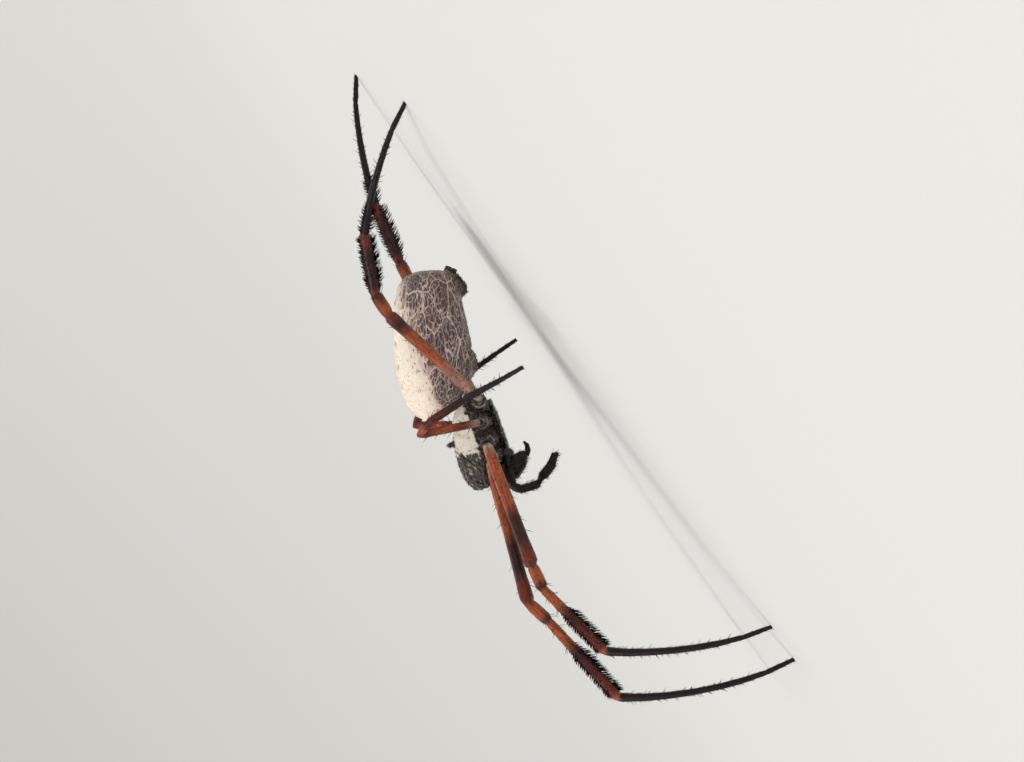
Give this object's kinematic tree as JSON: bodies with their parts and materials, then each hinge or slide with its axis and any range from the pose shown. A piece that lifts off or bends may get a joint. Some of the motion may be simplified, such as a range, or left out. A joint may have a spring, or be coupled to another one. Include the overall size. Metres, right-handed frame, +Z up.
{
  "type": "golden silk orb weaver",
  "caption": "Adult female golden silk orb weaver at life size, standing still on her eight long legs, with bristle brushes on the shins.",
  "frame": {"origin": "middle of the underside of the box round the whole animal, on the floor", "axes": "-Y forwards past the face, +Z up, +X to the animal's left"},
  "size_m": [0.0608, 0.1296, 0.0302],
  "materials": {
    "shield_hair": "short cream-white felted hair over dark brown shell",
    "dark_shell": "dark brown chitin, satin, with pale hairs",
    "eye": "glossy black lens",
    "jaw_shell": "polished black chitin",
    "abdomen_skin": "purple-brown cells netted with cream lines, silvery cream above",
    "spinneret_hair": "dark brown with black bristles",
    "orange_shell": "orange-brown chitin, satin, with dark speckles",
    "brush_hair": "dark red shell under brushes of black bristles",
    "black_shell": "black chitin, satin, with fine spines"
  },
  "bodies": {
    "root": {"abdomen": "abdomen_skin", "cephalothorax": "shield_hair", "chelicera_left": "jaw_shell", "chelicera_right": "jaw_shell", "coxa_1_left": "dark_shell", "coxa_1_right": "dark_shell", "coxa_2_left": "dark_shell", "coxa_2_right": "dark_shell", "coxa_3_left": "dark_shell", "coxa_3_right": "dark_shell", "coxa_4_left": "dark_shell", "coxa_4_right": "dark_shell", "eye_front_middle_left": "eye", "eye_front_middle_right": "eye", "eye_front_outer_left": "eye", "eye_front_outer_right": "eye", "eye_rear_middle_left": "eye", "eye_rear_middle_right": "eye", "eye_rear_outer_left": "eye", "eye_rear_outer_right": "eye", "fang_left": "jaw_shell", "fang_right": "jaw_shell", "femur_1_left": "orange_shell", "femur_1_right": "orange_shell", "femur_2_left": "orange_shell", "femur_2_right": "orange_shell", "femur_3_left": "orange_shell", "femur_3_right": "orange_shell", "femur_4_left": "orange_shell", "femur_4_right": "orange_shell", "foot_1_left": "black_shell", "foot_1_right": "black_shell", "foot_2_left": "black_shell", "foot_2_right": "black_shell", "foot_3_left": "black_shell", "foot_3_right": "black_shell", "foot_4_left": "black_shell", "foot_4_right": "black_shell", "mouthparts": "dark_shell", "palp_left": "black_shell", "palp_right": "black_shell", "patella_1_left": "orange_shell", "patella_1_right": "orange_shell", "patella_2_left": "orange_shell", "patella_2_right": "orange_shell", "patella_3_left": "orange_shell", "patella_3_right": "orange_shell", "patella_4_left": "orange_shell", "patella_4_right": "orange_shell", "pedicel": "dark_shell", "spinnerets": "spinneret_hair", "sternum": "dark_shell", "tibia_1_left": "brush_hair", "tibia_1_right": "brush_hair", "tibia_2_left": "brush_hair", "tibia_2_right": "brush_hair", "tibia_3_left": "brush_hair", "tibia_3_right": "brush_hair", "tibia_4_left": "brush_hair", "tibia_4_right": "brush_hair"}
  },
  "joints": []
}
